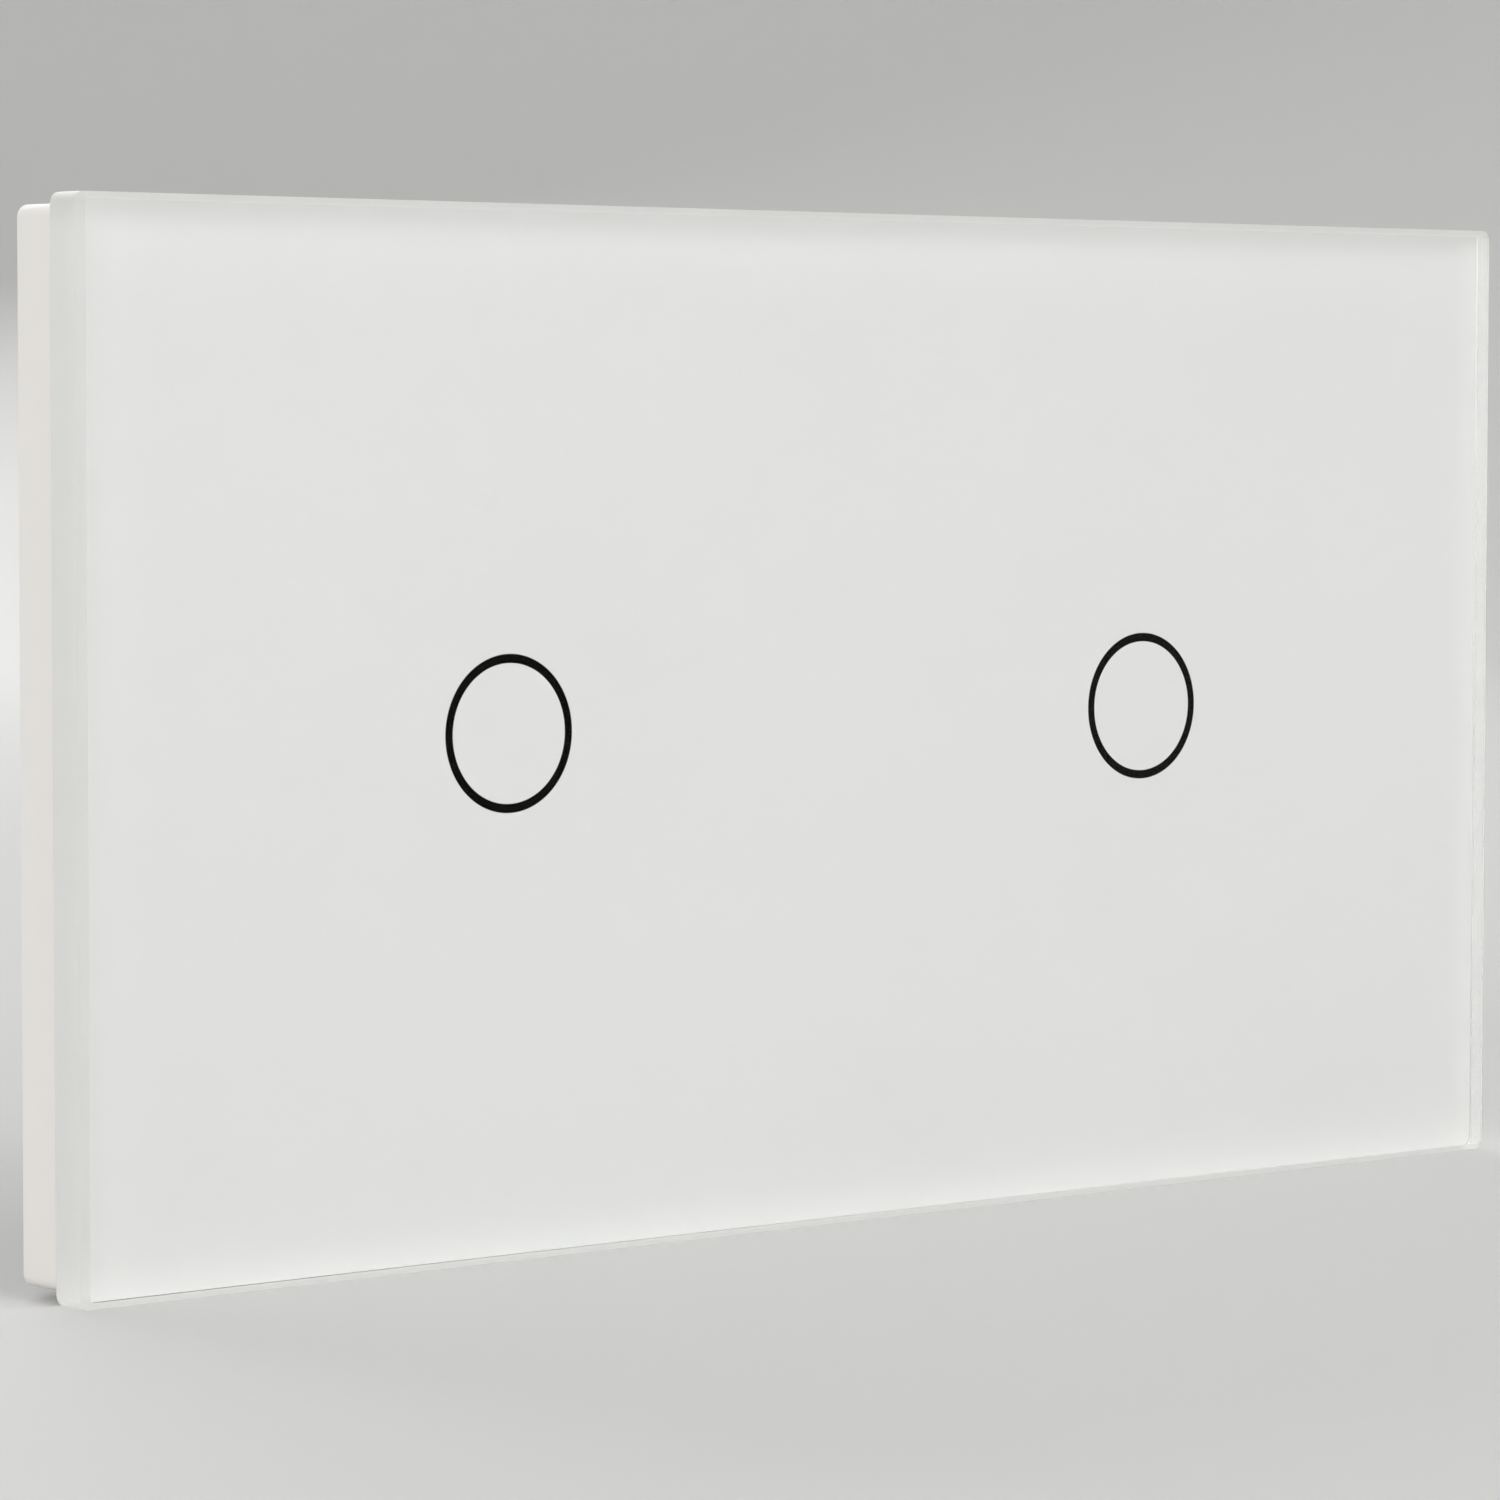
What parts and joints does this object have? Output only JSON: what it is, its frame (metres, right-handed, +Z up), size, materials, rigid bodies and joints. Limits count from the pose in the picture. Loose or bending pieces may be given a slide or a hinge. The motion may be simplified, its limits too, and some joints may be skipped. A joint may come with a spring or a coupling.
{
  "type": "double touch light switch",
  "caption": "Double touch light switch: glass plate with two printed rings on a plastic frame, clipped over two touch modules with relays and screw terminals.",
  "frame": {"origin": "in the wall plane, midway between the two modules", "axes": "+X to the right seen from the front, +Y into the wall, +Z up"},
  "size_m": [0.157, 0.035, 0.086],
  "materials": {
    "clear_glass": "clear toughened glass, ground and polished edge",
    "white_enamel": "white printed enamel behind the glass",
    "smoked_ink": "dark translucent ink",
    "foam_tape": "double-sided foam tape",
    "cream_plastic": "moulded warm white plastic, fine satin",
    "zinc_steel": "zinc-plated steel screws",
    "zinc_plate": "galvanised steel sheet",
    "white_plastic": "moulded white plastic",
    "clear_plastic": "clear moulded light guide",
    "green_board": "glass-fibre circuit board with green mask",
    "tinned_copper": "tinned copper",
    "lamp_epoxy": "diffused lamp epoxy",
    "black_epoxy": "black moulding compound",
    "black_plastic": "black moulded plastic",
    "white_housing": "white flame-proof plastic, spark-eroded matt",
    "relay_blue": "blue relay case",
    "copper_wire": "enamelled copper winding",
    "soft_iron": "nickel-plated soft iron",
    "silver_contact": "silver contact on copper alloy",
    "black_sleeve": "shrink sleeve of a capacitor",
    "yellow_box": "film capacitor box",
    "ferrite": "ferrite reel with winding",
    "ceramic": "ceramic fuse body on tinned leads",
    "grey_plastic": "grey moulded terminal block",
    "brass": "brass"
  },
  "bodies": {
    "modules": {"housing_screws": "zinc_steel", "left_yoke": "zinc_plate", "left_touch_cover": "white_plastic", "left_light_guide": "clear_plastic", "left_touch_board": "green_board", "left_touch_plate": "tinned_copper", "left_indicator_leds": "lamp_epoxy", "left_touch_chip": "black_epoxy", "left_board_connector": "black_plastic", "left_rear_housing": "white_housing", "left_power_board": "green_board", "left_relay_case": "relay_blue", "left_relay_base": "black_plastic", "left_relay_coil": "copper_wire", "left_relay_magnet": "soft_iron", "left_relay_contact": "silver_contact", "left_storage_capacitor": "black_sleeve", "left_film_capacitor": "yellow_box", "left_choke": "ferrite", "left_fuse": "ceramic", "left_terminal_block": "grey_plastic", "left_terminal_bars": "brass", "right_yoke": "zinc_plate", "right_touch_cover": "white_plastic", "right_light_guide": "clear_plastic", "right_touch_board": "green_board", "right_touch_plate": "tinned_copper", "right_indicator_leds": "lamp_epoxy", "right_touch_chip": "black_epoxy", "right_board_connector": "black_plastic", "right_rear_housing": "white_housing", "right_power_board": "green_board", "right_relay_case": "relay_blue", "right_relay_base": "black_plastic", "right_relay_coil": "copper_wire", "right_relay_magnet": "soft_iron", "right_relay_contact": "silver_contact", "right_storage_capacitor": "black_sleeve", "right_film_capacitor": "yellow_box", "right_choke": "ferrite", "right_fuse": "ceramic", "right_terminal_block": "grey_plastic", "right_terminal_bars": "brass"},
    "cover": {"glass_panel": "clear_glass", "glass_print": "white_enamel", "ring_windows": "smoked_ink", "adhesive_tape": "foam_tape", "cover_frame": "cream_plastic", "cover_clips": "cream_plastic"},
    "left_line_screw": {"left_line_screw": "zinc_steel"},
    "left_line_clamp": {"left_line_clamp": "zinc_plate"},
    "left_load_screw": {"left_load_screw": "zinc_steel"},
    "left_load_clamp": {"left_load_clamp": "zinc_plate"},
    "left_relay_armature": {"left_relay_armature": "soft_iron"},
    "right_line_screw": {"right_line_screw": "zinc_steel"},
    "right_line_clamp": {"right_line_clamp": "zinc_plate"},
    "right_load_screw": {"right_load_screw": "zinc_steel"},
    "right_load_clamp": {"right_load_clamp": "zinc_plate"},
    "right_relay_armature": {"right_relay_armature": "soft_iron"}
  },
  "joints": [
    {"name": "cover_release", "type": "slide", "parent": "modules", "child": "cover", "axis": [0, -1, 0], "range_m": [0, 0.02], "deforming": ["cover_clips"]},
    {"name": "left_line_clamp_lift", "type": "slide", "parent": "modules", "child": "left_line_clamp", "axis": [0, 1, 0], "range_m": [0, 0.0025]},
    {"name": "left_line_screw_turn", "type": "hinge", "parent": "modules", "child": "left_line_screw", "pos_m": [-0.041, 0.02, -0.0191], "axis": [0, -1, 0], "range_deg": [0, 1800]},
    {"name": "left_load_clamp_lift", "type": "slide", "parent": "modules", "child": "left_load_clamp", "axis": [0, 1, 0], "range_m": [0, 0.0025]},
    {"name": "left_load_screw_turn", "type": "hinge", "parent": "modules", "child": "left_load_screw", "pos_m": [-0.03, 0.02, -0.0191], "axis": [0, -1, 0], "range_deg": [0, 1800]},
    {"name": "left_relay_armature_pull", "type": "hinge", "parent": "modules", "child": "left_relay_armature", "pos_m": [-0.0525, 0.01383, 0.007], "axis": [0, 0, -1], "range_deg": [0, 4], "stiffness_Nm_per_rad": 0.002, "springref_deg": -11.46},
    {"name": "right_line_clamp_lift", "type": "slide", "parent": "modules", "child": "right_line_clamp", "axis": [0, 1, 0], "range_m": [0, 0.0025]},
    {"name": "right_line_screw_turn", "type": "hinge", "parent": "modules", "child": "right_line_screw", "pos_m": [0.03, 0.02, -0.0191], "axis": [0, -1, 0], "range_deg": [0, 1800]},
    {"name": "right_load_clamp_lift", "type": "slide", "parent": "modules", "child": "right_load_clamp", "axis": [0, 1, 0], "range_m": [0, 0.0025]},
    {"name": "right_load_screw_turn", "type": "hinge", "parent": "modules", "child": "right_load_screw", "pos_m": [0.041, 0.02, -0.0191], "axis": [0, -1, 0], "range_deg": [0, 1800]},
    {"name": "right_relay_armature_pull", "type": "hinge", "parent": "modules", "child": "right_relay_armature", "pos_m": [0.0185, 0.01383, 0.007], "axis": [0, 0, -1], "range_deg": [0, 4], "stiffness_Nm_per_rad": 0.002, "springref_deg": -11.46}
  ],
  "couplings": [
    {"joint": "left_line_screw_turn", "follows": "left_line_clamp_lift", "rad_per_m": 12566},
    {"joint": "left_load_screw_turn", "follows": "left_load_clamp_lift", "rad_per_m": 12566},
    {"joint": "right_line_screw_turn", "follows": "right_line_clamp_lift", "rad_per_m": 12566},
    {"joint": "right_load_screw_turn", "follows": "right_load_clamp_lift", "rad_per_m": 12566}
  ]
}
